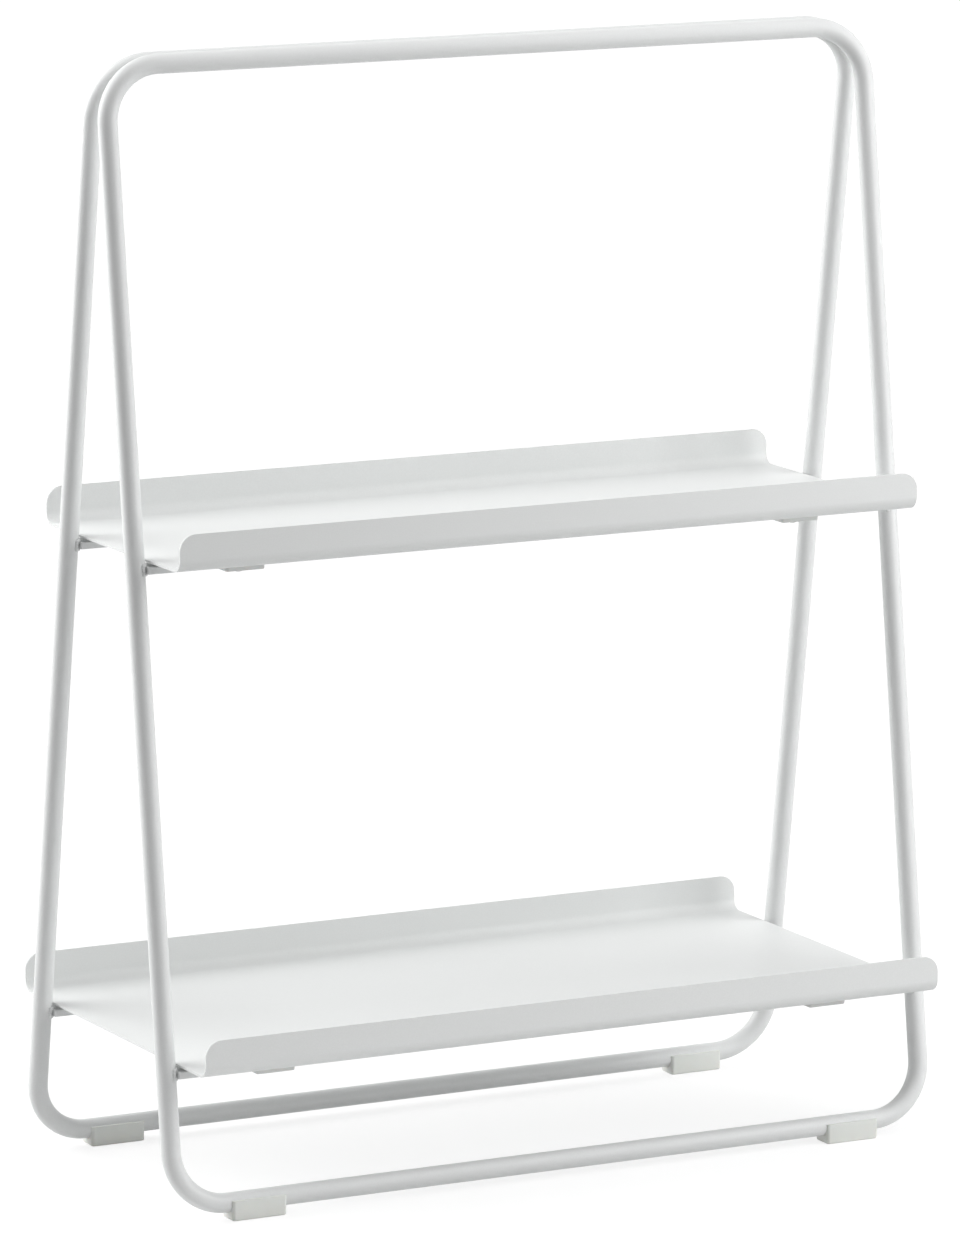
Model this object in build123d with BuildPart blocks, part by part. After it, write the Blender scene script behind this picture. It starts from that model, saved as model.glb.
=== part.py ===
from build123d import *
from math import atan2, cos, degrees, sqrt
import os

os.makedirs("parts", exist_ok=True)

# Driving dimensions, in millimetres.
# X runs along the shelf, Y from front to back, Z up. The origin is on the floor, under the middle.

# Overall size
height = 800.0
width = 614.0
floor_span = 230.0  # between the centre lines of the two bottom bars

# Tube of the two frames
tube_diameter = 14.0
tube_wall = 1.5
bend_radius = 40.0  # to the tube's centre line
rail_gap = 0.2  # between the two top bars, closed by the welds

# Trays, folded from sheet
sheet = 1.5
tray_length = 584.0
lip_height = 27.0  # from the underside of the floor
lip_corner = 12.0
fold_radius = 8.0  # inside the fold
upper_tray_depth = 217.8
upper_tray_level = 456.0  # underside of the floor
lower_tray_depth = 297.6
lower_tray_level = 110.2

# Arms that carry the trays
arm_width = 20.0
arm_thickness = 5.0
arm_end = 208.5  # inboard end, from the middle of the shelf
arm_saddle = 1.5  # how far the arm's end reaches round the leg
weld_gap = 0.05

# Weld all round the outer end of each arm
weld_leg = 1.8
weld_width = 15.0
weld_slope = 1.2

# Moulded boots over the arm ends
boot_length = 30.0
boot_width = 24.0
boot_height = 10.0
boot_middle = 221.0
boot_edge = 2.0
boot_slack = 0.1

# Standoffs under the trays, and the screws in them
standoff_diameter = 8.0
standoff_length = 7.0
standoff_clearance = 0.4
thread_depth = 5.5
thread_slack = 0.1
screw_diameter = 5.0
screw_length = 8.0
head_diameter = 9.5
head_height = 2.75
head_rim = 0.5
socket_across_flats = 3.0
socket_depth = 1.5
screw_hole = 5.4

# Feet clipped on the bottom bars
foot_length = 42.0
foot_width = 17.5
foot_height = 14.5
foot_base = 5.0
foot_middle = 238.0
foot_edge = 2.5
foot_sole_edge = 1.5
foot_slack = 0.05
pin_diameter = 3.8
pin_length = 3.0
pin_hole = 4.0

# Weld beads under the top bars
bead_length = 30.0
bead_spacing = 200.0
bead_depth = 5.2  # below the centre line of the top bars
bead_root = 2.0
bead_width = 4.6

# Worked out from the driving dimensions
tube_radius = tube_diameter / 2
rail_level = height - tube_radius
rail_offset = tube_radius + rail_gap / 2
bar_level = foot_base + tube_radius
bar_offset = floor_span / 2
leg_offset = width / 2 - tube_radius
lean_rise = rail_level - bar_level
lean_run = bar_offset - rail_offset
leg_length = sqrt(lean_rise**2 + lean_run**2)
outer_end = leg_offset - tube_radius + arm_saddle  # of an arm

# Names of the two ends and the two sides, with their signs along X and Y
ends = {"left": -1, "right": 1}
sides = {"front": -1, "back": 1}
levels = {"upper": upper_tray_level, "lower": lower_tray_level}


def leg_y(level):
    """Distance of a leg's centre line from the middle plane, at a level above the floor."""
    return rail_offset + lean_run * (rail_level - level) / lean_rise


def arm_level(tray_level):
    """Level of an arm's middle, under a tray at the given level."""
    return tray_level - boot_height / 2


def support_points(tray_level, level):
    """The four places where a tray is screwed down, at a level above the floor."""
    y = leg_y(arm_level(tray_level))
    return [(sx * boot_middle, sy * y, level) for sx in ends.values() for sy in sides.values()]


def finish(part, name):
    """Label a finished piece and write it."""
    part.label = name
    export_step(part, f"parts/{name}.step")


# Frames: a closed loop of tube, leaning towards the middle
def frame_loop(side):
    loop_plane = Plane(
        origin=(0, side * bar_offset, bar_level),
        x_dir=(1, 0, 0),
        z_dir=(0, -lean_rise, -side * lean_run),
    )
    with BuildPart() as frame:
        with BuildLine(loop_plane) as path:
            FilletPolyline(
                (leg_offset, 0),
                (leg_offset, leg_length),
                (-leg_offset, leg_length),
                (-leg_offset, 0),
                radius=bend_radius,
                close=True,
            )
        with BuildSketch(Plane(origin=path.line @ 0, z_dir=path.line % 0)):
            Circle(tube_radius)
            Circle(tube_radius - tube_wall, mode=Mode.SUBTRACT)
        sweep()
        # Holes in the underside of the bottom bar, for the pins of the feet
        with Locations(
            (-foot_middle, side * bar_offset, foot_base),
            (foot_middle, side * bar_offset, foot_base),
        ):
            Cylinder(
                pin_hole / 2,
                tube_radius,
                align=(Align.CENTER, Align.CENTER, Align.MIN),
                mode=Mode.SUBTRACT,
            )
    return frame.part


for side_name, side in sides.items():
    finish(frame_loop(side), f"{side_name}_frame")


# Welds: three beads in the groove under the two top bars
with BuildPart() as top_rail_welds:
    for x in (-bead_spacing, 0, bead_spacing):
        with BuildSketch(Plane.YZ.offset(x)):
            with Locations((0, rail_level - bead_depth)):
                Rectangle(bead_width, bead_depth - bead_root, align=(Align.CENTER, Align.MIN))
            with Locations((-rail_offset, rail_level), (rail_offset, rail_level)):
                Circle(tube_radius, mode=Mode.SUBTRACT)
        extrude(amount=bead_length / 2, both=True)
finish(top_rail_welds.part, "top_rail_welds")


# Trays: one fold of sheet, with a lip at the front and at the back
def tray(depth, level):
    with BuildPart() as folded:
        with BuildSketch(Plane.YZ):
            with BuildLine():
                FilletPolyline(
                    (-depth / 2, level + lip_height),
                    (-depth / 2, level),
                    (depth / 2, level),
                    (depth / 2, level + lip_height),
                    radius=fold_radius + sheet,
                )
                offset(amount=sheet, side=Side.LEFT)
            make_face()
        extrude(amount=tray_length / 2, both=True)
        lip_ends = folded.edges().filter_by(Axis.Y).group_by(Axis.Z)[-1]
        fillet(lip_ends, lip_corner)
    return folded.part


finish(tray(upper_tray_depth, upper_tray_level), "upper_tray")
finish(tray(lower_tray_depth, lower_tray_level), "lower_tray")


def leg_at(end, side, level):
    """Where a leg's centre line passes a level above the floor, turned to the leg's lean."""
    lean = side * degrees(atan2(lean_run, lean_rise))
    return Location((end * leg_offset, side * leg_y(level), level), (lean, 0, 0))


def saddle(end, side, level):
    """Cut the arm or bead in hand to the round of its leg."""
    with Locations(leg_at(end, side, level)):
        Cylinder(tube_radius + weld_gap, 4 * arm_thickness, mode=Mode.SUBTRACT)


# Arms: flat bars from the legs inboard, each with a saddle at the leg and a hole for the standoff
def arm(end, side, tray_level):
    level = arm_level(tray_level)
    y = side * leg_y(level)
    with BuildPart() as bar:
        with Locations((end * (arm_end + outer_end) / 2, y, level)):
            Box(outer_end - arm_end, arm_width, arm_thickness)
        inboard_corners = bar.edges().filter_by(Axis.Z).sort_by(Axis.X, reverse=end > 0)[-2:]
        fillet(inboard_corners, boot_edge)
        saddle(end, side, level)
        with Locations((end * boot_middle, y, level)):
            Hole((standoff_diameter + standoff_clearance) / 2)
    return bar.part


# Arm welds: a bead all round each arm's outer end, against the leg
def arm_weld(end, side, tray_level):
    level = arm_level(tray_level)
    y = side * leg_y(level)
    inboard = outer_end - arm_saddle - weld_leg
    outboard = outer_end + weld_leg
    with BuildPart() as bead:
        with Locations((end * (inboard + outboard) / 2, y, level)):
            Box(outboard - inboard, weld_width, arm_thickness + 2 * weld_leg)
        inboard_face = bead.faces().sort_by(Axis.X, reverse=end > 0)[-1]
        chamfer(inboard_face.edges().filter_by(Axis.Y), weld_slope)
        saddle(end, side, level)
        add(arm(end, side, tray_level), mode=Mode.SUBTRACT)
    return bead.part


def arm_welds(tray_level):
    with BuildPart() as beads:
        for end in ends.values():
            for side in sides.values():
                add(arm_weld(end, side, tray_level))
    return beads.part


# Boots: moulded over the arm ends, between the arm and the tray
def boot(end, side, tray_level):
    level = arm_level(tray_level)
    y = side * leg_y(level)
    top = level + boot_height / 2
    slot_end = arm_end - boot_slack
    slot_mouth = boot_middle + boot_length / 2
    with BuildPart() as moulding:
        with Locations((end * boot_middle, y, level)):
            Box(boot_length, boot_width, boot_height)
        fillet(moulding.edges().filter_by(Axis.Z), boot_edge)
        fillet(moulding.faces().sort_by(Axis.Z)[0].edges(), boot_edge / 2)
        with Locations((end * (slot_end + slot_mouth) / 2, y, level)):
            Box(
                slot_mouth - slot_end,
                arm_width + 2 * boot_slack,
                arm_thickness + 2 * boot_slack,
                mode=Mode.SUBTRACT,
            )
        with Locations((end * boot_middle, y, level)):
            Hole(screw_hole / 2)
        with Locations((end * boot_middle, y, top)):
            Hole((standoff_diameter + standoff_clearance) / 2, depth=boot_height / 2)
    return moulding.part


for level_name, tray_level in levels.items():
    for side_name, side in sides.items():
        for end_name, end in ends.items():
            place = f"{level_name}_{side_name}_{end_name}"
            finish(arm(end, side, tray_level), f"{place}_arm")
            finish(boot(end, side, tray_level), f"{place}_boot")


# Standoffs: blind threaded bushes, fixed to the underside of the tray
def standoffs(tray_level):
    foot_level = tray_level - standoff_length
    bore = (screw_diameter + thread_slack) / 2
    with BuildPart() as bushes:
        with Locations(support_points(tray_level, foot_level)):
            Cylinder(standoff_diameter / 2, standoff_length, align=(Align.CENTER, Align.CENTER, Align.MIN))
        with Locations(support_points(tray_level, foot_level)):
            Cylinder(bore, thread_depth, align=(Align.CENTER, Align.CENTER, Align.MIN), mode=Mode.SUBTRACT)
    return bushes.part


# Screws: button heads with a hexagon socket, driven up through the boots
def screws(tray_level):
    seat = tray_level - boot_height
    half_head = head_diameter / 2
    dome = (half_head**2 + (head_height - head_rim) ** 2) / (2 * (head_height - head_rim))
    with BuildPart() as one_screw:
        with BuildSketch(Plane.XZ):
            with BuildLine():
                Polyline(
                    (0, -head_height),
                    (0, screw_length),
                    (screw_diameter / 2, screw_length),
                    (screw_diameter / 2, 0),
                    (half_head, 0),
                    (half_head, -head_rim),
                )
                RadiusArc((half_head, -head_rim), (0, -head_height), dome)
            make_face()
        revolve(axis=Axis.Z)
        with BuildSketch(Plane.XY.offset(-head_height)):
            RegularPolygon(socket_across_flats / 2, 6, major_radius=False)
        extrude(amount=socket_depth, mode=Mode.SUBTRACT)
    with BuildPart() as group:
        with Locations(support_points(tray_level, seat)):
            add(one_screw.part)
    return group.part


for level_name, tray_level in levels.items():
    finish(arm_welds(tray_level), f"{level_name}_arm_welds")
    finish(standoffs(tray_level), f"{level_name}_tray_standoffs")
    finish(screws(tray_level), f"{level_name}_tray_screws")


# Feet: clips round the lower half of the bottom bars, with a pin into the tube
def foot(end, side):
    middle = Plane.YZ.offset(end * foot_middle)
    y = side * bar_offset
    with BuildPart() as clip:
        with BuildSketch(middle):
            with Locations((y, 0)):
                Rectangle(foot_width, foot_height, align=(Align.CENTER, Align.MIN))
        extrude(amount=foot_length / 2, both=True)
        fillet(clip.edges().filter_by(Axis.Z), foot_edge)
        fillet(clip.faces().sort_by(Axis.Z)[0].edges(), foot_sole_edge)
        with BuildSketch(middle):
            with Locations((y, bar_level)):
                Circle(tube_radius + foot_slack)
        extrude(amount=foot_length, both=True, mode=Mode.SUBTRACT)
        with Locations((end * foot_middle, y, foot_base - foot_slack)):
            Cylinder(pin_diameter / 2, pin_length, align=(Align.CENTER, Align.CENTER, Align.MIN))
    return clip.part


for side_name, side in sides.items():
    for end_name, end in ends.items():
        finish(foot(end, side), f"{side_name}_{end_name}_foot")
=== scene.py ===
"""The looks of the white A-frame shelf.

It has two bent tube frames and two folded trays, with their arms, welds, boots, screws and feet.
"""

import logging
import math
from collections.abc import Callable, Iterable, Sequence
from dataclasses import dataclass
from enum import Enum
from functools import cache

import bmesh
import bpy
from bpy.types import Material, Mesh, Object
from mathutils import Matrix, Vector


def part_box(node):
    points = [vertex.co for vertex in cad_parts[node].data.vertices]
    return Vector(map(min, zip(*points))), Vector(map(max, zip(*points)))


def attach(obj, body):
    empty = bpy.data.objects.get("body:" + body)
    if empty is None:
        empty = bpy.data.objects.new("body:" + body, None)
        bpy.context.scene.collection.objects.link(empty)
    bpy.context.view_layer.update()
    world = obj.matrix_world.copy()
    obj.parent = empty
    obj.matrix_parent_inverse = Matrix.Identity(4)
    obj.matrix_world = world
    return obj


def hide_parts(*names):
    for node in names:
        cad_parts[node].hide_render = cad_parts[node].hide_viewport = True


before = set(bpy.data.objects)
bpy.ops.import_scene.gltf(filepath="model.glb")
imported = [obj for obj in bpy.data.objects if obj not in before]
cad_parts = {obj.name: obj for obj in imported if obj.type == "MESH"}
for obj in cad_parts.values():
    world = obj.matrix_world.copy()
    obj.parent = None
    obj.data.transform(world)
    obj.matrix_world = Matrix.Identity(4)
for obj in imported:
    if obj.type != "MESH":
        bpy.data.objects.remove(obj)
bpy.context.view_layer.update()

BODY = "root"
PHOTO_LONG_SIDE = 1256
SENSOR_WIDTH = 36.0
WHITE = (1.0, 1.0, 1.0, 1.0)
NOISE_MIDDLE = 0.5

log = logging.getLogger("shelf")

Flat = tuple[float, float]
Point = tuple[float, float, float]
Colour = tuple[float, float, float]


@cache
def box_of(node: str) -> tuple[Vector, Vector]:
    """The lowest and the highest corner of a CAD node's box."""
    low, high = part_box(node)
    return Vector(low), Vector(high)


def middle_of(node: str) -> Flat:
    """X and Y of the middle of a CAD node's box."""
    low, high = box_of(node)
    return (low[0] + high[0]) / 2, (low[1] + high[1]) / 2


class Slot(Enum):
    """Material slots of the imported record."""

    STEEL = "white_steel"
    SHEET = "white_sheet"
    SCREW = "white_screw"
    ZINC = "zinc"
    BOOT = "boot"
    FOOT = "foot"


class Side(Enum):
    """Front and back of the shelf, with their signs along Y."""

    FRONT = -1
    BACK = 1


class End(Enum):
    """Left and right end of the shelf, with their signs along X."""

    LEFT = -1
    RIGHT = 1


class Axis(Enum):
    """The axis that a prism stands along."""

    UP = "Z"
    ALONG = "X"


class Measure(Enum):
    """Socket types for the named inputs of a Geometry Nodes group."""

    SIZE = "NodeSocketFloat"
    COUNT = "NodeSocketInt"
    PLACE = "NodeSocketVector"


def corner_name(side: Side, end: End) -> str:
    """The words for a corner in a node's name, such as front_left."""
    return f"{side.name.lower()}_{end.name.lower()}"


class Signal:
    """A node's output socket that adds Math nodes when it is used in an expression."""

    def __init__(self, wiring: "Wiring", socket: bpy.types.NodeSocket) -> None:
        """Keep the socket and the tree it belongs to."""
        self.wiring = wiring
        self.socket = socket

    def of(self, output: str | int) -> "Signal":
        """Another output of the same node."""
        return Signal(self.wiring, self.socket.node.outputs[output])

    def math(self, operation: str, *values: "Signal | float") -> "Signal":
        """Add one Math node.

        Args:
            operation: The Math node's operation.
            values: Its inputs, in order.

        Returns:
            The node's result.
        """
        return self.wiring.node("ShaderNodeMath", {"operation": operation}, dict(enumerate(values)))

    def __add__(self, other: "Signal | float") -> "Signal":
        """Sum."""
        return self.math("ADD", self, other)

    def __radd__(self, other: float) -> "Signal":
        """Sum, with the number first."""
        return self.math("ADD", other, self)

    def __sub__(self, other: "Signal | float") -> "Signal":
        """Difference."""
        return self.math("SUBTRACT", self, other)

    def __rsub__(self, other: float) -> "Signal":
        """Difference, with the number first."""
        return self.math("SUBTRACT", other, self)

    def __mul__(self, other: "Signal | float") -> "Signal":
        """Product."""
        return self.math("MULTIPLY", self, other)

    def __rmul__(self, other: float) -> "Signal":
        """Product, with the number first."""
        return self.math("MULTIPLY", other, self)

    def __truediv__(self, other: "Signal | float") -> "Signal":
        """Quotient."""
        return self.math("DIVIDE", self, other)

    def __rtruediv__(self, other: float) -> "Signal":
        """Quotient, with the number first."""
        return self.math("DIVIDE", other, self)

    def larger(self, other: "Signal | float") -> "Signal":
        """The larger of two values."""
        return self.math("MAXIMUM", self, other)

    def sine(self) -> "Signal":
        """Sine of the value, in radians."""
        return self.math("SINE", self)

    def clamped(self) -> "Signal":
        """The value held between 0 and 1."""
        return self.math("MINIMUM", self.larger(0.0), 1.0)


class Wiring:
    """Adds nodes to one tree: a material's, the world's or a Geometry Nodes group's."""

    def __init__(self, tree: bpy.types.NodeTree) -> None:
        """Keep the tree."""
        self.tree = tree

    def node(
        self,
        kind: str,
        settings: dict[str, object] | None = None,
        sockets: dict[str | int, object] | None = None,
        output: str | int = 0,
    ) -> Signal:
        """Add a node, set it up and connect it.

        Args:
            kind: The node's type name.
            settings: Its properties, set first.
            sockets: Values or signals for its inputs, by name or number.
            output: The output wanted, by name or number.

        Returns:
            The wanted output. A node with no outputs returns its first input.
        """
        made = self.tree.nodes.new(kind)
        for name, value in (settings or {}).items():
            setattr(made, name, value)
        for key, value in (sockets or {}).items():
            socket = made.inputs[key]
            if isinstance(value, Signal):
                self.tree.links.new(value.socket, socket)
            else:
                socket.default_value = value
        return Signal(self, made.outputs[output] if len(made.outputs) else made.inputs[0])

    def noise(
        self, place: Signal, size: float, detail: float = 2.0, roughness: float = 0.5
    ) -> Signal:
        """Noise from 0 to 1.

        Args:
            place: Where it is read, in metres.
            size: Size of its features, in metres.
            detail: Octaves of finer noise in it.
            roughness: Strength of the finer noise.

        Returns:
            The noise value.
        """
        sockets = {"Vector": place, "Scale": 1.0 / size, "Detail": detail, "Roughness": roughness}
        return self.node("ShaderNodeTexNoise", {}, sockets)

    def blend(self, factor: Signal | float, first: object, second: object) -> Signal:
        """Mix two colours.

        Args:
            factor: 0 gives the first and 1 the second.
            first: A colour or a signal.
            second: A colour or a signal.

        Returns:
            The mixed colour.
        """
        sockets = {0: factor, 6: first, 7: second}
        return self.node("ShaderNodeMix", {"data_type": "RGBA"}, sockets, output=2)

    def shaded(self, factor: Signal, colour: Colour, dark: float, light: float) -> Signal:
        """A colour that goes from a darker to a lighter share of itself."""
        return self.blend(factor, tinted(colour, dark), tinted(colour, light))

    def relief(self, height: Signal, distance: float) -> Signal:
        """A normal for a height that is scaled by a distance in metres."""
        sockets = {"Strength": 1.0, "Distance": distance, "Height": height}
        return self.node("ShaderNodeBump", {}, sockets)


def tinted(colour: Colour, share: float) -> tuple[float, float, float, float]:
    """A colour made lighter or darker by a share, with an alpha of 1."""
    return (*(min(c * share, 1.0) for c in colour), 1.0)


def new_surface(name: str) -> tuple[Material, Wiring, Signal]:
    """Start a material with an empty tree.

    Args:
        name: The material's name.

    Returns:
        The material, its wiring and the Object coordinates.
    """
    material = bpy.data.materials.new(name)
    material.use_nodes = True
    material.node_tree.nodes.clear()
    wiring = Wiring(material.node_tree)
    return material, wiring, wiring.node("ShaderNodeTexCoord", output="Object")


def close_surface(wiring: Wiring, sockets: dict[str | int, object]) -> None:
    """End a material's tree with a Principled shader that has the given sockets."""
    shader = wiring.node("ShaderNodeBsdfPrincipled", {}, sockets)
    wiring.node("ShaderNodeOutputMaterial", {}, {"Surface": shader})


@dataclass(frozen=True)
class PowderCoat:
    """Baked white powder coat: a fine grain over a soft, slightly uneven film."""

    name: str
    colour: Colour
    roughness: float
    grain_size: float = 0.0011
    grain_height: float = 0.000022
    film_size: float = 0.0045
    film_height: float = 0.00003
    cloud_size: float = 0.16
    tone_spread: float = 0.012
    grain_tone: float = 0.02
    speck_start: float = 0.35
    speck_contrast: float = 2.2
    cloud_gloss: float = 0.12
    grain_gloss: float = 0.10
    refraction: float = 1.48

    def material(self) -> Material:
        """Make the material.

        Returns:
            The finished material.
        """
        made, wiring, place = new_surface(self.name)
        grain = wiring.noise(place, self.grain_size, detail=3.0, roughness=0.6)
        film = wiring.noise(place, self.film_size, detail=1.0)
        cloud = wiring.noise(place, self.cloud_size)
        spread = self.tone_spread
        tone = wiring.shaded(cloud, self.colour, 1.0 - spread, 1.0 + spread)
        speck = tinted(self.colour, 1.0 - 2.0 * self.grain_tone)
        bare = ((grain - self.speck_start) * self.speck_contrast).clamped()
        speckled = wiring.blend(bare, speck, tone)
        height = grain * self.grain_height + film * self.film_height
        bump = wiring.relief(height, 1.0)
        gloss = self.roughness + (cloud - NOISE_MIDDLE) * self.cloud_gloss
        gloss = gloss + (grain - NOISE_MIDDLE) * self.grain_gloss
        sockets = {"Base Color": speckled, "Roughness": gloss, "Normal": bump}
        close_surface(wiring, sockets | {"IOR": self.refraction})
        return made


@dataclass(frozen=True)
class MouldedPlastic:
    """Matt moulded plastic with the fine texture of its mould and faint flow clouds."""

    name: str
    colour: Colour
    roughness: float
    texture_size: float = 0.0006
    texture_height: float = 0.000016
    flow_size: float = 0.012
    tone_spread: float = 0.025
    flow_gloss: float = 0.15
    refraction: float = 1.46
    scatter: float = 0.06

    def material(self) -> Material:
        """Make the material.

        Returns:
            The finished material.
        """
        made, wiring, place = new_surface(self.name)
        texture = wiring.noise(place, self.texture_size)
        flow = wiring.noise(place, self.flow_size, detail=3.0)
        spread = self.tone_spread
        tone = wiring.shaded(flow, self.colour, 1.0 - spread, 1.0 + spread)
        bump = wiring.relief(texture, self.texture_height)
        gloss = self.roughness + (flow - NOISE_MIDDLE) * self.flow_gloss
        sockets = {"Base Color": tone, "Roughness": gloss, "Normal": bump, "IOR": self.refraction}
        close_surface(wiring, sockets | {"Subsurface Weight": self.scatter})
        return made


@dataclass(frozen=True)
class ZincPlate:
    """Bright zinc plating with a faint turned grain round the vertical axis."""

    name: str
    colour: Colour = (0.62, 0.64, 0.66)
    roughness: float = 0.32
    turning_pitch: float = 0.00035
    turning_height: float = 0.00001
    cloud_size: float = 0.004
    dark_share: float = 0.9
    light_share: float = 1.08
    cloud_gloss: float = 0.2

    def material(self) -> Material:
        """Make the material.

        Returns:
            The finished material.
        """
        made, wiring, place = new_surface(self.name)
        height = wiring.node("ShaderNodeSeparateXYZ", {}, {"Vector": place}, output="Z")
        turning = (height * (2.0 * math.pi / self.turning_pitch)).sine()
        cloud = wiring.noise(place, self.cloud_size)
        tone = wiring.shaded(cloud, self.colour, self.dark_share, self.light_share)
        bump = wiring.relief(turning * 0.5 + 0.5, self.turning_height)
        gloss = self.roughness + (cloud - NOISE_MIDDLE) * self.cloud_gloss
        sockets = {"Base Color": tone, "Metallic": 1.0, "Roughness": gloss, "Normal": bump}
        close_surface(wiring, sockets)
        return made


class GeometryTree:
    """A Geometry Nodes group with named inputs, run once and kept as a plain mesh."""

    def __init__(self, name: str) -> None:
        """Start the group with a geometry input and output.

        Args:
            name: The group's name.
        """
        self.tree = bpy.data.node_groups.new(name, "GeometryNodeTree")
        self.wiring = Wiring(self.tree)
        for way in ("INPUT", "OUTPUT"):
            self.tree.interface.new_socket(
                "Geometry", in_out=way, socket_type="NodeSocketGeometry"
            )
        self.entry = self.tree.nodes.new("NodeGroupInput")
        self.values: dict[str, object] = {}

    def base(self) -> Signal:
        """The geometry of the object that the group runs on."""
        return Signal(self.wiring, self.entry.outputs["Geometry"])

    def size(self, name: str, value: object, kind: Measure = Measure.SIZE) -> Signal:
        """Add a named input.

        Args:
            name: What the input is called.
            value: Its value for this shelf.
            kind: Its socket type.

        Returns:
            The input, for use in the group.
        """
        item = self.tree.interface.new_socket(name, in_out="INPUT", socket_type=kind.value)
        self.values[item.identifier] = value
        return Signal(self.wiring, self.entry.outputs[name])

    def swept(
        self, curve: Signal, sides: int, radius: float, others: dict[str, object] | None = None
    ) -> Signal:
        """Sweep a round profile along a curve.

        Args:
            curve: The curve.
            sides: Sides of the profile.
            radius: Radius of the profile.
            others: Other inputs of the sweep.

        Returns:
            The sweep, shaded smooth.
        """
        add = self.wiring.node
        count = self.size("Sides", sides, Measure.COUNT)
        circle = {"Resolution": count, "Radius": self.size("Radius", radius)}
        profile = add("GeometryNodeCurvePrimitiveCircle", {"mode": "RADIUS"}, circle)
        sockets = {"Curve": curve, "Profile Curve": profile} | (others or {})
        sweep = add("GeometryNodeCurveToMesh", {}, sockets)
        return add("GeometryNodeSetShadeSmooth", {}, {"Geometry": sweep})

    def run(
        self,
        name: str,
        geometry: Signal,
        material: Material,
        base: Mesh | None = None,
    ) -> Object:
        """Close the group, run it and keep its result.

        Args:
            name: Name of the new piece.
            geometry: What the group gives out.
            material: The piece's material.
            base: The mesh that the group starts from, if it has one.

        Returns:
            An object with a plain mesh.
        """
        real = self.wiring.node("GeometryNodeRealizeInstances", {}, {"Geometry": geometry})
        coat = {"Geometry": real, "Material": material}
        coated = self.wiring.node("GeometryNodeSetMaterial", {}, coat)
        self.wiring.node("NodeGroupOutput", {}, {"Geometry": coated})
        start = base or bpy.data.meshes.new(f"{name}_start")
        maker = bpy.data.objects.new(f"{name}_maker", start)
        modifier = maker.modifiers.new("shape", "NODES")
        modifier.node_group = self.tree
        for identifier, value in self.values.items():
            modifier[identifier] = value
        return dress(new_object(name, used_up(maker)), material)


def used_up(maker: Object, *tools: Object) -> Mesh:
    """Apply an object's modifiers and take the object away.

    Args:
        maker: The object with the modifiers, not yet linked.
        tools: Objects that its modifiers use, already linked.

    Returns:
        A plain mesh of the result.
    """
    bpy.context.collection.objects.link(maker)
    graph = bpy.context.evaluated_depsgraph_get()
    mesh = bpy.data.meshes.new_from_object(
        maker.evaluated_get(graph), preserve_all_data_layers=True, depsgraph=graph
    )
    maker.modifiers.clear()
    for used in (maker, *tools):
        bpy.data.objects.remove(used)
    return mesh


def new_object(name: str, mesh: Mesh) -> Object:
    """Link an object at the origin for a mesh, with its faces pointing outwards.

    Args:
        name: The piece's name.
        mesh: Its mesh.

    Returns:
        The object.
    """
    work = bmesh.new()
    work.from_mesh(mesh)
    if work.calc_volume(signed=True) < 0.0:
        bmesh.ops.reverse_faces(work, faces=work.faces)
        work.to_mesh(mesh)
    work.free()
    mesh.name = name
    made = bpy.data.objects.new(name, mesh)
    bpy.context.collection.objects.link(made)
    return made


def mesh_of(name: str, points: Iterable[Sequence[float]], faces: Iterable[Sequence[int]]) -> Mesh:
    """Make a mesh from points and faces.

    Args:
        name: The mesh's name.
        points: Its points.
        faces: The numbers of each face's points.

    Returns:
        The mesh.
    """
    mesh = bpy.data.meshes.new(name)
    mesh.from_pydata([tuple(p) for p in points], [], [tuple(f) for f in faces])
    mesh.update()
    return mesh


def finish_edges(mesh: Mesh, width: float, segments: int, angle: float = 40.0) -> Mesh:
    """Round a mesh's sharp edges and shade it smooth.

    Args:
        mesh: The mesh to finish, which is used up.
        width: Width of the rounding, in metres.
        segments: Faces across each rounding.
        angle: Edges sharper than this many degrees are rounded.

    Returns:
        The finished mesh.
    """
    maker = bpy.data.objects.new("edge_maker", mesh)
    bevel = maker.modifiers.new("edges", "BEVEL")
    bevel.width = width
    bevel.segments = segments
    bevel.limit_method = "ANGLE"
    bevel.angle_limit = math.radians(angle)
    bevel.miter_outer = "MITER_ARC"
    weights = maker.modifiers.new("shading", "WEIGHTED_NORMAL")
    weights.keep_sharp = True
    for face in mesh.polygons:
        face.use_smooth = True
    return used_up(maker)


def carved(mesh: Mesh, cutters: Sequence[Mesh]) -> Mesh:
    """Cut meshes out of a mesh.

    Args:
        mesh: The mesh that is cut.
        cutters: Closed meshes to take away.

    Returns:
        The cut mesh.
    """
    maker = bpy.data.objects.new("carved_maker", mesh)
    tools = []
    for cutter in cutters:
        tool = bpy.data.objects.new("cutter", cutter)
        bpy.context.collection.objects.link(tool)
        tools.append(tool)
        cut = maker.modifiers.new("cut", "BOOLEAN")
        cut.operation = "DIFFERENCE"
        cut.solver = "EXACT"
        cut.object = tool
    return used_up(maker, *tools)


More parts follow.
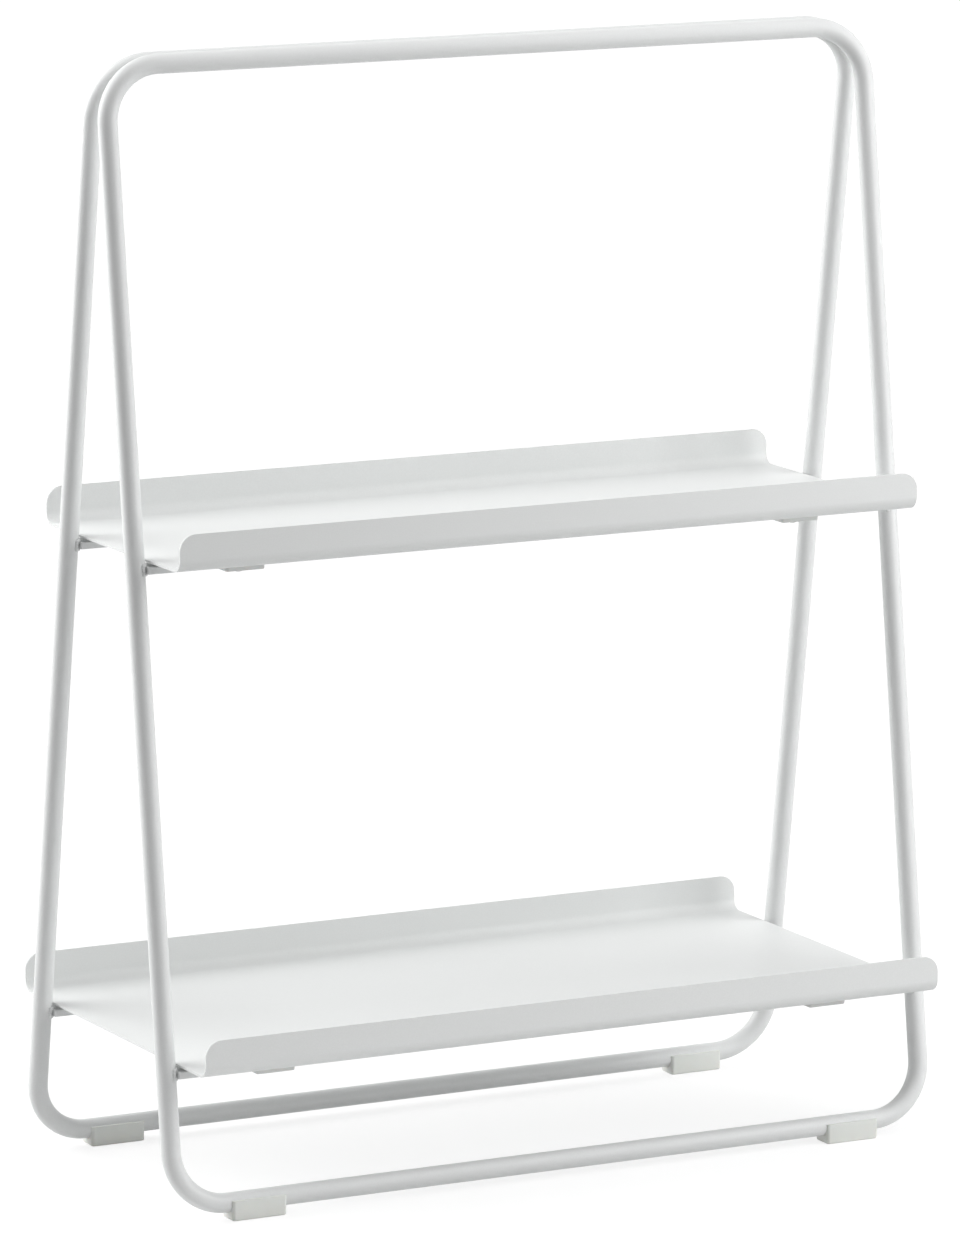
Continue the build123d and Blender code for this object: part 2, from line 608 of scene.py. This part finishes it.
def prism(outline: Sequence[Flat], low: float, high: float, axis: Axis = Axis.UP) -> Mesh:
    """A closed prism over an outline.

    Args:
        outline: Corners in order, as X and Y, or as Y and Z for a prism along X.
        low: Where the prism starts along its axis.
        high: Where it ends.
        axis: The axis that it stands along.

    Returns:
        The prism's mesh.
    """
    count = len(outline)
    layers = [(a, b, c) for c in (low, high) for a, b in outline]
    points = layers if axis is Axis.UP else [(c, a, b) for a, b, c in layers]
    faces: list[Sequence[int]] = [list(range(count))[::-1], list(range(count, 2 * count))]
    faces += [(i, (i + 1) % count, (i + 1) % count + count, i + count) for i in range(count)]
    mesh = mesh_of("prism", points, faces)
    work = bmesh.new()
    work.from_mesh(mesh)
    bmesh.ops.recalc_face_normals(work, faces=work.faces)
    work.to_mesh(mesh)
    work.free()
    return mesh


def arc(centre: Flat, radius: float, start: float, end: float, steps: int) -> list[Flat]:
    """Points along an arc.

    Args:
        centre: The arc's centre.
        radius: Its radius.
        start: Angle of the first point, in degrees.
        end: Angle of the last point, in degrees.
        steps: Pieces that the arc is cut into.

    Returns:
        The points, both ends included.
    """
    angles = [math.radians(start + (end - start) * i / steps) for i in range(steps + 1)]
    return [(centre[0] + radius * math.cos(a), centre[1] + radius * math.sin(a)) for a in angles]


def rounded_box(length: float, width: float, radius: float, steps: int = 6) -> list[Flat]:
    """Outline of a rectangle round the origin with round corners.

    Args:
        length: Its size along X.
        width: Its size along Y.
        radius: Radius of its corners.
        steps: Pieces that each corner is cut into.

    Returns:
        The outline's points.
    """
    x, y = length / 2 - radius, width / 2 - radius
    corners = ((x, y, 0.0), (-x, y, 90.0), (-x, -y, 180.0), (x, -y, 270.0))
    return [p for cx, cy, turn in corners for p in arc((cx, cy), radius, turn, turn + 90.0, steps)]


def stacked(name: str, rings: Sequence[Sequence[Point]]) -> Mesh:
    """A closed mesh over rings of points, with a flat face at both ends.

    Args:
        name: The mesh's name.
        rings: The rings from the lowest up, with the same number of points each.

    Returns:
        The mesh.
    """
    count, last = len(rings[0]), (len(rings) - 1) * len(rings[0])
    faces: list[Sequence[int]] = [list(range(count))[::-1]]
    for low in range(0, last, count):
        high = low + count
        for i in range(count):
            j = (i + 1) % count
            faces.append((low + i, low + j, high + j, high + i))
    faces.append(list(range(last, last + count)))
    return mesh_of(name, [point for ring in rings for point in ring], faces)


def lathe(rings: Sequence[tuple[Callable[[float], float], float]], sides: int) -> Mesh:
    """A closed mesh of rings stacked along Z.

    Args:
        rings: For each ring, its radius as a function of the angle, and its level.
        sides: Points on each ring.

    Returns:
        The mesh, closed by a flat face at both ends.
    """
    angles = [2.0 * math.pi * i / sides for i in range(sides)]
    loops = [[(r(a) * math.cos(a), r(a) * math.sin(a), z) for a in angles] for r, z in rings]
    return stacked("lathe", loops)


def show(piece: Object, slot: Slot, *nodes: str) -> None:
    """Put a finished piece on the shelf.

    Args:
        piece: The piece, at the origin.
        slot: Its material slot, which is not used.
        nodes: CAD nodes that it stands for.
    """
    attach(piece, BODY)
    if nodes:
        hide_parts(*nodes)
    triangles = sum(len(face.vertices) - 2 for face in piece.data.polygons)
    log.info("%s: %d triangles, for %s", piece.name, triangles, ", ".join(nodes) or "no node")


def dress(piece: Object, material: Material) -> Object:
    """Give a piece its only material.

    Args:
        piece: The piece.
        material: Its finish.

    Returns:
        The same piece.
    """
    piece.data.materials.clear()
    piece.data.materials.append(material)
    return piece


def four_corners(
    name: str,
    mesh: Mesh,
    material: Material,
    place: Vector,
    turned: bool = False,
    seed: int = 0,
) -> Object:
    """Set one piece at the four corners with Geometry Nodes.

    Args:
        name: Name of the new piece.
        mesh: The piece for the left end, round the origin.
        material: Its material.
        place: The back right place.
        turned: Whether the right end's pieces are turned to face the other way.
        seed: Seed of the random turn, or 0 for none.

    Returns:
        The four as one piece.
    """
    shape = GeometryTree("four_corners")
    add = shape.wiring.node
    spacing = {
        "Size X": shape.size("Spacing along", 2.0 * place[0]),
        "Size Y": shape.size("Spacing across", 2.0 * place[1]),
    }
    grid = add("GeometryNodeMeshGrid", {}, spacing | {"Vertices X": 2, "Vertices Y": 2})
    position = add("GeometryNodeInputPosition")
    where = add("ShaderNodeSeparateXYZ", {}, {"Vector": position}, output="X")
    right = where.math("GREATER_THAN", where, 0.0)
    turn = right * (math.pi if turned else 0.0)
    if seed:
        chance = {3: math.pi, "Seed": shape.size("Seed", seed, Measure.COUNT)}
        turn = turn + add("FunctionNodeRandomValue", {"data_type": "FLOAT"}, chance, output=1)
    spin = add("ShaderNodeCombineXYZ", {}, {"Z": turn})
    turned_by = add("FunctionNodeEulerToRotation", {}, {"Euler": spin})
    sockets = {"Points": grid, "Instance": shape.base(), "Rotation": turned_by}
    copies = add("GeometryNodeInstanceOnPoints", {}, sockets)
    level = shape.size("Level", (0.0, 0.0, place[2]), Measure.PLACE)
    raised = add("GeometryNodeTransform", {}, {"Geometry": copies, "Translation": level})
    return shape.run(name, raised, material, mesh)


@dataclass
class TubeLoop:
    """One frame: a closed loop of round tube that leans towards the middle."""

    side: Side
    finish: Material
    tube_radius: float = 0.007
    bend_radius: float = 0.040
    tube_sides: int = 56
    bend_steps: int = 28

    @property
    def node(self) -> str:
        """Name of the CAD node."""
        return f"{self.side.name.lower()}_frame"

    @property
    def levels(self) -> Flat:
        """Levels of the bottom and the top bar's centre lines."""
        low, high = box_of(self.node)
        return low[2] + self.tube_radius, high[2] - self.tube_radius

    @property
    def offsets(self) -> Flat:
        """Distances of the bottom and the top bar from the middle plane."""
        inner, outer = sorted(abs(corner[1]) for corner in box_of(self.node))
        return outer - self.tube_radius, inner + self.tube_radius

    @property
    def leg_offset(self) -> float:
        """Distance of the legs' centre lines from the middle of the shelf."""
        return box_of(self.node)[1][0] - self.tube_radius

    def leg_y(self, level: float) -> float:
        """Distance of a leg's centre line from the middle plane.

        Args:
            level: The level at which it is wanted.

        Returns:
            The distance.
        """
        (bar_level, rail_level), (bar_offset, rail_offset) = self.levels, self.offsets
        rise, run = rail_level - bar_level, bar_offset - rail_offset
        return rail_offset + run * (rail_level - level) / rise

    def build(self) -> None:
        """Sweep the tube round its loop with Geometry Nodes."""
        (bar_level, rail_level), (bar_offset, rail_offset) = self.levels, self.offsets
        rise, run = rail_level - bar_level, bar_offset - rail_offset
        shape = GeometryTree("tube_loop")
        add = shape.wiring.node
        frame_size = {
            "Width": shape.size("Loop width", 2.0 * self.leg_offset),
            "Height": shape.size("Leg length", math.hypot(rise, run)),
        }
        path = add("GeometryNodeCurvePrimitiveQuadrilateral", {"mode": "RECTANGLE"}, frame_size)
        bend = {
            "Curve": path,
            "Count": shape.size("Bend steps", self.bend_steps, Measure.COUNT),
            "Radius": shape.size("Bend radius", self.bend_radius),
        }
        bent = add("GeometryNodeFilletCurve", {"mode": "POLY"}, bend)
        tube = shape.swept(bent, self.tube_sides, self.tube_radius)
        lean = math.atan2(rise, -self.side.value * run)
        turn = add("ShaderNodeCombineXYZ", {}, {"X": shape.size("Lean", lean)})
        half_way = self.side.value * (rail_offset + bar_offset) / 2
        middle = (0.0, half_way, (rail_level + bar_level) / 2)
        place = {
            "Geometry": tube,
            "Translation": shape.size("Middle", middle, Measure.PLACE),
            "Rotation": add("FunctionNodeEulerToRotation", {}, {"Euler": turn}),
        }
        placed = add("GeometryNodeTransform", {}, place)
        show(shape.run(f"{self.node}_tube", placed, self.finish), Slot.STEEL, self.node)


@dataclass
class WeldBead:
    """Weld beads with rounded ripples, swept along paths by Geometry Nodes."""

    name: str
    node: str
    finish: Material
    radius: float
    ripple_length: float = 0.0016
    ripple_depth: float = 0.16
    step: float = 0.0002
    sides: int = 14
    end_girth: float = 0.25
    end_taper: float = 24.0

    def build(self, paths: Sequence[Sequence[Point]], closed: bool) -> None:
        """Sweep the beads, all as one piece.

        Args:
            paths: The points that each bead follows.
            closed: Whether each path comes back to its start.
        """
        points: list[Point] = []
        edges: list[tuple[int, int]] = []
        for path in paths:
            first = len(points)
            points += path
            edges += [(first + i, first + i + 1) for i in range(len(path) - 1)]
            if closed:
                edges.append((first + len(path) - 1, first))
        base = bpy.data.meshes.new(f"{self.name}_paths")
        base.from_pydata(points, edges, [])
        shape = GeometryTree("weld_bead")
        add = shape.wiring.node
        line = add("GeometryNodeMeshToCurve", {}, {"Mesh": shape.base()})
        steps = {"Curve": line, "Length": shape.size("Step", self.step)}
        fine = add("GeometryNodeResampleCurve", {"mode": "LENGTH"}, steps)
        along = add("GeometryNodeSplineParameter", {}, {}, output="Length")
        ripple_length = shape.size("Ripple length", self.ripple_length)
        ripple = (along * (2.0 * math.pi) / ripple_length).sine()
        girth = 1.0 - shape.size("Ripple depth", self.ripple_depth) * (0.5 - 0.5 * ripple)
        if not closed:
            factor = add("GeometryNodeSplineParameter", {}, {}, output="Factor")
            taper = (factor * (1.0 - factor) * self.end_taper).clamped()
            girth = girth * (self.end_girth + (1.0 - self.end_girth) * taper)
        others = {"Scale": girth, "Fill Caps": True}
        smooth = shape.swept(fine, self.sides, self.radius, others)
        show(shape.run(self.name, smooth, self.finish, base), Slot.STEEL, self.node)


@dataclass
class RailWelds:
    """Three beads in the groove under the top bars, which tie the two frames together."""

    finish: Material
    bead_length: float = 0.028
    bead_radius: float = 0.0019
    end_inset: float = 0.015
    steps: int = 20

    def build(self) -> None:
        """Sweep the three beads."""
        low, high = box_of("top_rail_welds")
        spacing, level = high[0] - self.end_inset, low[2] + self.bead_radius
        shares = [self.bead_length * i / self.steps for i in range(self.steps + 1)]
        starts = [x - self.bead_length / 2 for x in (-spacing, 0.0, spacing)]
        paths = [[(start + share, 0.0, level) for share in shares] for start in starts]
        beads = WeldBead("top_rail_weld_beads", "top_rail_welds", self.finish, self.bead_radius)
        beads.build(paths, closed=False)


@dataclass
class FoldedTray:
    """A tray folded from one sheet, with a lip at the front and at the back."""

    name: str
    finish: Material
    sheet: float = 0.0015
    fold_radius: float = 0.008
    lip_corner: float = 0.012
    edge_round: float = 0.00045
    columns: int = 24
    fold_steps: int = 14
    corner_steps: int = 14
    floor_shares: tuple[float, ...] = (0.02, 0.2, 0.4, 0.6, 0.8)

    @property
    def node(self) -> str:
        """Name of the CAD node."""
        return f"{self.name}_tray"

    def stations(self) -> list[tuple[float, float, float]]:
        """Rows of the sheet's middle surface, from the front lip's top to the middle of the floor.

        Returns:
            For each row, its Y, its Z and half its length.
        """
        low, high = box_of(self.node)
        front, bottom = low[1] + self.sheet / 2, low[2] + self.sheet / 2
        half = (high[0] - low[0]) / 2
        bend = self.fold_radius + self.sheet / 2
        inset, edge = self.lip_corner, front + bend
        corner = arc((half - inset, high[2] - inset), inset, 90.0, 0.0, self.corner_steps)
        fold = arc((edge, bottom + bend), bend, 180.0, 270.0, self.fold_steps)
        rows = [(front, z, x) for x, z in corner]
        rows += [(y, z, half) for y, z in fold]
        rows += [(edge - edge * share, bottom, half) for share in self.floor_shares]
        return rows

    def build(self) -> None:
        """Lay out the sheet, give it its thickness and soften its cut edges."""
        half_rows = self.stations()
        rows = half_rows + [(-y, z, x) for y, z, x in half_rows[::-1]]
        spread = [2.0 * i / self.columns - 1.0 for i in range(self.columns + 1)]
        points = [(x * share, y, z) for y, z, x in rows for share in spread]
        width = self.columns + 1
        faces = [
            (r * width + c, r * width + c + 1, (r + 1) * width + c + 1, (r + 1) * width + c)
            for r in range(len(rows) - 1)
            for c in range(self.columns)
        ]
        mesh = mesh_of(self.name, points, faces)
        maker = bpy.data.objects.new("sheet_maker", mesh)
        wall = maker.modifiers.new("wall", "SOLIDIFY")
        wall.thickness = self.sheet
        wall.offset = 0.0
        wall.use_even_offset = True
        thick = used_up(maker)
        soft = finish_edges(thick, self.edge_round, segments=3, angle=60.0)
        show(dress(new_object(f"{self.node}_sheet", soft), self.finish), Slot.SHEET, self.node)


@dataclass
class TraySupport:
    """What carries one tray: four arms welded to the legs, with boots and screws."""

    name: str
    legs: TubeLoop
    steel: Material
    plastic: Material
    screw_coat: Material
    arm_edge: float = 0.0006
    arm_corner: float = 0.002
    corner_steps: int = 5
    saddle_steps: int = 14
    weld_radius: float = 0.0017
    weld_lift: float = 0.0004
    weld_reach: float = 62.0
    across_steps: int = 16
    down_steps: int = 5
    boot_corner: float = 0.0022
    boot_edge: float = 0.0009
    slack: float = 0.0001
    screw_sides: int = 60
    shank_radius: float = 0.0025
    socket_across: float = 0.003
    socket_depth: float = 0.0015
    socket_top: float = 0.00015
    socket_lip: float = 1.06
    lip_share: float = 0.40
    lip_lift: float = 0.00002
    dome_shares: tuple[float, ...] = (0.30, 0.44, 0.58, 0.7, 0.8, 0.88, 0.94, 0.98, 1.0)
    head_rim: float = 0.0005
    rim_foot: float = 0.0001
    rim_share: float = 0.985
    screw_seed: int = 7

    def arm_outline(self, low: Vector, high: Vector) -> list[Flat]:
        """Outline of the front left arm from above, with its saddle at the leg.

        Args:
            low: The arm's lowest corner.
            high: Its highest corner.

        Returns:
            The outline.
        """
        radius = self.legs.tube_radius
        middle, width = (low[1] + high[1]) / 2, high[1] - low[1]
        leg = (-self.legs.leg_offset, middle)
        opening = math.degrees(math.acos((low[0] - leg[0]) / radius))
        corner, steps = self.arm_corner, self.corner_steps
        inboard = arc((high[0] - corner, low[1] + corner), corner, -90.0, 0.0, steps)
        inboard += arc((high[0] - corner, high[1] - corner), corner, 0.0, 90.0, steps)
        saddle = arc(leg, radius, opening, -opening, self.saddle_steps)
        outer = [(low[0], middle + width / 2), *saddle, (low[0], middle - width / 2)]
        return inboard + outer

    def build_arms(self) -> None:
        """Make the four arms."""
        low, high = box_of(f"{self.name}_front_left_arm")
        outline = self.arm_outline(low, high)
        for side in Side:
            for end in End:
                node = f"{self.name}_{corner_name(side, end)}_arm"
                across = -1.0 if end is End.RIGHT else 1.0
                along = -1.0 if side is Side.BACK else 1.0
                turned = [(x * across, y * along) for x, y in outline]
                flat = prism(turned, low[2], high[2])
                bar = finish_edges(flat, self.arm_edge, segments=3)
                show(dress(new_object(f"{node}_bar", bar), self.steel), Slot.STEEL, node)

    def weld_path(self, side: Side, end: End) -> list[Point]:
        """The line where an arm meets its leg, all round the arm.

        Args:
            side: Front or back.
            end: Left or right.

        Returns:
            The points of the closed path.
        """
        low, high = box_of(f"{self.name}_{corner_name(side, end)}_arm")
        middle = (low[1] + high[1]) / 2
        radius, reach = self.legs.tube_radius, self.weld_reach
        top, bottom = high[2] + self.weld_lift, low[2] - self.weld_lift
        turns = [-reach + 2.0 * reach * i / self.across_steps for i in range(self.across_steps + 1)]

        def at(turn: float, level: float) -> Point:
            """A point on the leg's skin.

            Args:
                turn: Its angle from the arm's line, in degrees.
                level: Its level.

            Returns:
                The point.
            """
            half_way = self.legs.leg_y((low[2] + high[2]) / 2)
            lean = side.value * (self.legs.leg_y(level) - half_way)
            x = end.value * (self.legs.leg_offset - radius * math.cos(math.radians(turn)))
            return (x, middle + lean + radius * math.sin(math.radians(turn)), level)

        count = self.down_steps
        over = [at(turn, top) for turn in turns]
        down = [at(turns[-1], top + (bottom - top) * i / count) for i in range(1, count)]
        under = [at(turn, bottom) for turn in turns[::-1]]
        up = [at(turns[0], bottom + (top - bottom) * i / count) for i in range(1, count)]
        return over + down + under + up

    def build_welds(self) -> None:
        """Make the bead round each arm's outer end."""
        node = f"{self.name}_arm_welds"
        beads = WeldBead(f"{self.name}_arm_weld_beads", node, self.steel, self.weld_radius)
        beads.build([self.weld_path(side, end) for side in Side for end in End], closed=True)

    def boot_mesh(self) -> Mesh:
        """The left boot, with the middle of its top at the origin and its slot to the left.

        Returns:
            The boot's mesh.
        """
        low, high = box_of(f"{self.name}_front_left_boot")
        arm_low, arm_high = box_of(f"{self.name}_front_left_arm")
        length, width, height = high[0] - low[0], high[1] - low[1], high[2] - low[2]
        middle_x, middle_y = middle_of(f"{self.name}_front_left_boot")
        body = prism(rounded_box(length, width, self.boot_corner), -height, 0.0)
        body = finish_edges(body, self.boot_edge, segments=4)
        gap = self.slack
        left, right = low[0] - middle_x - length, arm_high[0] + gap - middle_x
        front, back = arm_low[1] - gap - middle_y, arm_high[1] + gap - middle_y
        outline = [(left, front), (right, front), (right, back), (left, back)]
        slot = prism(outline, arm_low[2] - gap - high[2], arm_high[2] + gap - high[2])
        return carved(body, [slot])

    def screw_mesh(self) -> Mesh:
        """A button head screw, with its head's seat at the origin.

        Returns:
            The screw's mesh, its shank upwards.
        """
        low, high = box_of(f"{self.name}_tray_screws")
        boot = f"{self.name}_front_left_boot"
        seat = box_of(boot)[0][2]
        head, length = seat - low[2], high[2] - seat
        radius = middle_of(boot)[0] - low[0]
        rise = head - self.head_rim
        dome = (radius**2 + rise**2) / (2.0 * rise)

        def hexagon(turn: float) -> float:
            """Radius of the socket's hexagon at an angle."""
            sector = math.pi / 3.0
            return self.socket_across / 2 / math.cos((turn % sector) - sector / 2)

        def mouth(turn: float) -> float:
            """Radius of the edge round the socket at an angle."""
            return max(hexagon(turn) * self.socket_lip, radius * self.lip_share)

        def steady(value: float) -> Callable[[float], float]:
            """The same radius at every angle."""
            return lambda turn: value

        def skin(out: float) -> float:
            """Level of the head's dome at a radius."""
            return -self.head_rim - (math.sqrt(dome**2 - out**2) - (dome - rise))

        rings = [(hexagon, -head + self.socket_depth), (hexagon, -head + self.socket_top)]
        first, *others = [radius * share for share in self.dome_shares]
        rings += [(mouth, skin(first) + self.lip_lift)]
        rings += [(steady(out), skin(out)) for out in others]
        rings += [(steady(radius), -self.rim_foot), (steady(radius * self.rim_share), 0.0)]
        rings += [(steady(self.shank_radius), 0.0), (steady(self.shank_radius), length)]
        return lathe(rings, self.screw_sides)

    def build(self) -> None:
        """Make the arms, welds, boots and screws."""
        self.build_arms()
        self.build_welds()
        boot = f"{self.name}_back_right_boot"
        low, high = box_of(boot)
        top = Vector((*middle_of(boot), high[2]))
        boots = four_corners(f"{self.name}_boots", self.boot_mesh(), self.plastic, top, turned=True)
        nodes = [f"{self.name}_{corner_name(side, end)}_boot" for side in Side for end in End]
        show(boots, Slot.BOOT, *nodes)
        seat = Vector((top[0], top[1], low[2]))
        mesh, seed = self.screw_mesh(), self.screw_seed
        screws = four_corners(f"{self.name}_screws", mesh, self.screw_coat, seat, seed=seed)
        show(screws, Slot.SCREW, f"{self.name}_tray_screws")


@dataclass
class FootSet:
    """Four moulded clips under the ends of the bottom bars."""

    legs: TubeLoop
    finish: Material
    corner: float = 0.0025
    sole_edge: float = 0.0015
    top_edge: float = 0.0005
    slack: float = 0.00005
    sole_steps: int = 7
    top_steps: int = 4
    corner_steps: int = 8
    least_corner: float = 0.0006
    channel_sides: int = 72
    crisp_angle: float = 32.0

    def clip_mesh(self) -> Mesh:
        """One foot, with the middle of its sole at the origin.

        Returns:
            The foot's mesh.
        """
        low, high = box_of("front_left_foot")
        length, width, height = high[0] - low[0], high[1] - low[1], high[2] - low[2]

        def quarter(edge: float, steps: int) -> list[Flat]:
            """What a round edge leaves of a full corner, inwards and upwards, in steps."""
            turns = [math.pi / 2 * i / steps for i in range(steps + 1)]
            return [(edge * (1 - math.sin(t)), edge * (1 - math.cos(t))) for t in turns]

        layers = quarter(self.sole_edge, self.sole_steps)
        top = quarter(self.top_edge, self.top_steps)
        layers += [(inset, height - drop) for drop, inset in top]
        rings = []
        for inset, level in layers:
            corner = max(self.corner - inset, self.least_corner)
            x_size, y_size = length - 2 * inset, width - 2 * inset
            outline = rounded_box(x_size, y_size, corner, self.corner_steps)
            rings.append([(x, y, level) for x, y in outline])
        block = stacked("foot_block", rings)
        radius, sides = self.legs.tube_radius + self.slack, self.channel_sides
        bore = arc((0.0, self.legs.levels[0]), radius, 0.0, 360.0 - 360.0 / sides, sides - 1)
        channel = prism(bore, -length, length, Axis.ALONG)
        return carved(block, [channel])

    def build(self) -> None:
        """Make the four feet."""
        low, _ = box_of("back_right_foot")
        place = Vector((*middle_of("back_right_foot"), low[2]))
        mesh = self.clip_mesh()
        smooth_by_angle(mesh, self.crisp_angle)
        feet = four_corners("feet", mesh, self.finish, place)
        nodes = [f"{corner_name(side, end)}_foot" for side in Side for end in End]
        show(feet, Slot.FOOT, *nodes)


def smooth_by_angle(mesh: Mesh, angle: float) -> None:
    """Shade a mesh smooth, but for its sharper edges.

    Args:
        mesh: The mesh.
        angle: Edges sharper than this many degrees are kept crisp.
    """
    work = bmesh.new()
    work.from_mesh(mesh)
    for face in work.faces:
        face.smooth = True
    limit = math.radians(angle)
    for edge in work.edges:
        edge.smooth = not (len(edge.link_faces) == 2 and edge.calc_face_angle(0.0) > limit)
    work.to_mesh(mesh)
    work.free()


@dataclass(frozen=True)
class SoftBox:
    """A square studio lamp, placed by its direction from the shelf's middle, which it faces."""

    name: str
    azimuth: float
    height_angle: float
    distance: float
    width: float
    power: float
    target: Point = (0.0, 0.0, 0.4)

    def build(self) -> None:
        """Add the lamp."""
        lamp = bpy.data.lights.new(self.name, "AREA")
        lamp.shape = "SQUARE"
        lamp.size = self.width
        lamp.energy = self.power
        made = bpy.data.objects.new(self.name, lamp)
        turn, rise = math.radians(self.azimuth), math.radians(self.height_angle)
        level = math.cos(rise)
        out = Vector((math.sin(turn) * level, math.cos(turn) * level, math.sin(rise)))
        made.location = Vector(self.target) + out * self.distance
        made.rotation_euler = (-out).to_track_quat("-Z", "Y").to_euler()
        bpy.context.collection.objects.link(made)


@dataclass
class Studio:
    """The pale floor, the soft light, the white background and the camera."""

    floor_radius: float = 40.0
    floor_tone: float = 0.82
    table_radius: float = 0.40
    room_share: float = 0.6
    table_fade: float = 3.0
    floor_sides: int = 72
    cloud_size: float = 0.5
    tone_spread: float = 0.01
    shadow_tone: float = 0.32
    glow: float = 0.76
    glow_radius: float = 0.8
    glow_fade: float = 0.3
    sky: float = 0.15
    camera_place: Point = (-2.5993, -4.9128, 1.4367)
    camera_yaw: float = 27.855
    camera_pitch: float = -10.807
    camera_roll: float = 0.333
    camera_pixels: float = 7948.0
    camera_range: float = 200.0
    lamps: tuple[SoftBox, ...] = (
        SoftBox("left_back_box", -47.0, 12.0, 2.6, 2.0, 38.0),
        SoftBox("left_high_box", -60.0, 40.0, 2.6, 2.0, 41.0),
        SoftBox("right_front_box", 133.0, 10.0, 2.0, 1.2, 17.5),
        SoftBox("right_high_box", 133.0, 42.0, 2.6, 2.0, 26.0),
        SoftBox("right_back_box", 45.0, 12.0, 2.6, 2.0, 5.0),
        SoftBox("top_box", 0.0, 90.0, 2.6, 2.0, 16.0),
    )

    def background_rays(self, wiring: Wiring) -> Signal:
        """1 for rays that see the background: from the camera, mirrored or let through."""
        rays = wiring.node("ShaderNodeLightPath", {}, {}, output="Is Camera Ray")
        return rays.larger(rays.of("Is Glossy Ray")).larger(rays.of("Is Transmission Ray"))

    def build_floor(self) -> None:
        """Lay the floor, whose soft shadow of the shelf stays visible."""
        sides = self.floor_sides
        outline = arc((0.0, 0.0), self.floor_radius, 0.0, 360.0 - 360.0 / sides, sides - 1)
        mesh = mesh_of("floor", [(x, y, 0.0) for x, y in outline], [list(range(sides))])
        floor = bpy.data.objects.new("floor", mesh)
        bpy.context.collection.objects.link(floor)
        material, wiring, place = new_surface("pale_floor")
        tone = (self.floor_tone,) * 3
        cloud = wiring.noise(place, self.cloud_size)
        pale = wiring.shaded(cloud, tone, 1.0 - self.tone_spread, 1.0 + self.tone_spread)
        length = {"operation": "LENGTH"}
        distance = wiring.node("ShaderNodeVectorMath", length, {0: place}, output="Value")
        beyond = ((distance - self.table_radius) * self.table_fade).clamped()
        colour = wiring.blend(beyond, pale, tinted(tone, self.room_share))
        paint = wiring.node("ShaderNodeBsdfDiffuse", {}, {"Color": colour})
        shade = (self.shadow_tone,) * 3
        soft = wiring.node("ShaderNodeBsdfDiffuse", {}, {"Color": (*shade, 1.0)})
        rest = ((distance - self.glow_radius) * self.glow_fade).clamped()
        glow = self.glow + rest * (1.0 - self.glow)
        lit = wiring.node("ShaderNodeEmission", {}, {"Strength": glow})
        seen = wiring.node("ShaderNodeAddShader", {}, {0: soft, 1: lit})
        shares = {0: self.background_rays(wiring), 1: paint, 2: seen}
        surface = wiring.node("ShaderNodeMixShader", {}, shares)
        wiring.node("ShaderNodeOutputMaterial", {}, {"Surface": surface})
        dress(floor, material)

    def build_world(self) -> None:
        """Light the room softly all round, and show it white."""
        world = bpy.data.worlds.new("studio")
        bpy.context.scene.world = world
        world.use_nodes = True
        world.node_tree.nodes.clear()
        wiring = Wiring(world.node_tree)
        strength = self.sky + self.background_rays(wiring) * (1.0 - self.sky)
        air = wiring.node("ShaderNodeBackground", {}, {"Color": WHITE, "Strength": strength})
        wiring.node("ShaderNodeOutputWorld", {}, {"Surface": air})

    def build_camera(self) -> None:
        """Set up the camera where the photograph was taken from."""
        data = bpy.data.cameras.new("photo_camera")
        data.sensor_width = SENSOR_WIDTH
        data.lens = self.camera_pixels * SENSOR_WIDTH / PHOTO_LONG_SIDE
        data.clip_end = self.camera_range
        camera = bpy.data.objects.new("photo_camera", data)
        yaw, pitch = math.radians(self.camera_yaw), math.radians(self.camera_pitch)
        flat = math.cos(pitch)
        ahead = Vector((math.sin(yaw) * flat, math.cos(yaw) * flat, math.sin(pitch)))
        level = Vector((math.cos(yaw), -math.sin(yaw), 0.0))
        above = level.cross(ahead)
        roll = math.radians(self.camera_roll)
        right = math.cos(roll) * level + math.sin(roll) * above
        up = math.cos(roll) * above - math.sin(roll) * level
        turn = Matrix((right, up, -ahead)).transposed().to_4x4()
        camera.matrix_world = Matrix.Translation(self.camera_place) @ turn
        bpy.context.collection.objects.link(camera)
        bpy.context.scene.camera = camera

    def build(self) -> None:
        """Make the whole studio."""
        bpy.context.scene.view_settings.view_transform = "Standard"
        self.build_floor()
        self.build_world()
        for lamp in self.lamps:
            lamp.build()
        self.build_camera()


def main() -> None:
    """Build the shelf's looks and the studio round it."""
    logging.basicConfig(level=logging.INFO, format="%(message)s")
    steel = PowderCoat("white_tube_coat", (0.793, 0.804, 0.802), 0.42).material()
    sheet = PowderCoat("white_sheet_coat", (0.795, 0.808, 0.803), 0.50).material()
    screw_coat = PowderCoat(
        "white_screw_coat", (0.76, 0.76, 0.755), 0.40, grain_size=0.0007
    ).material()
    boot_plastic = MouldedPlastic("boot_plastic", (0.72, 0.725, 0.71), 0.55).material()
    foot_plastic = MouldedPlastic("foot_plastic", (0.815, 0.815, 0.775), 0.50).material()
    zinc = ZincPlate("zinc_plate").material()
    frames = {side: TubeLoop(side, steel) for side in Side}
    for loop in frames.values():
        loop.build()
    RailWelds(steel).build()
    for name in ("upper", "lower"):
        FoldedTray(name, sheet).build()
        TraySupport(name, frames[Side.FRONT], steel, boot_plastic, screw_coat).build()
        dress(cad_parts[f"{name}_tray_standoffs"], zinc)
    FootSet(frames[Side.FRONT], foot_plastic).build()
    Studio().build()


if __name__ == "__main__":
    main()
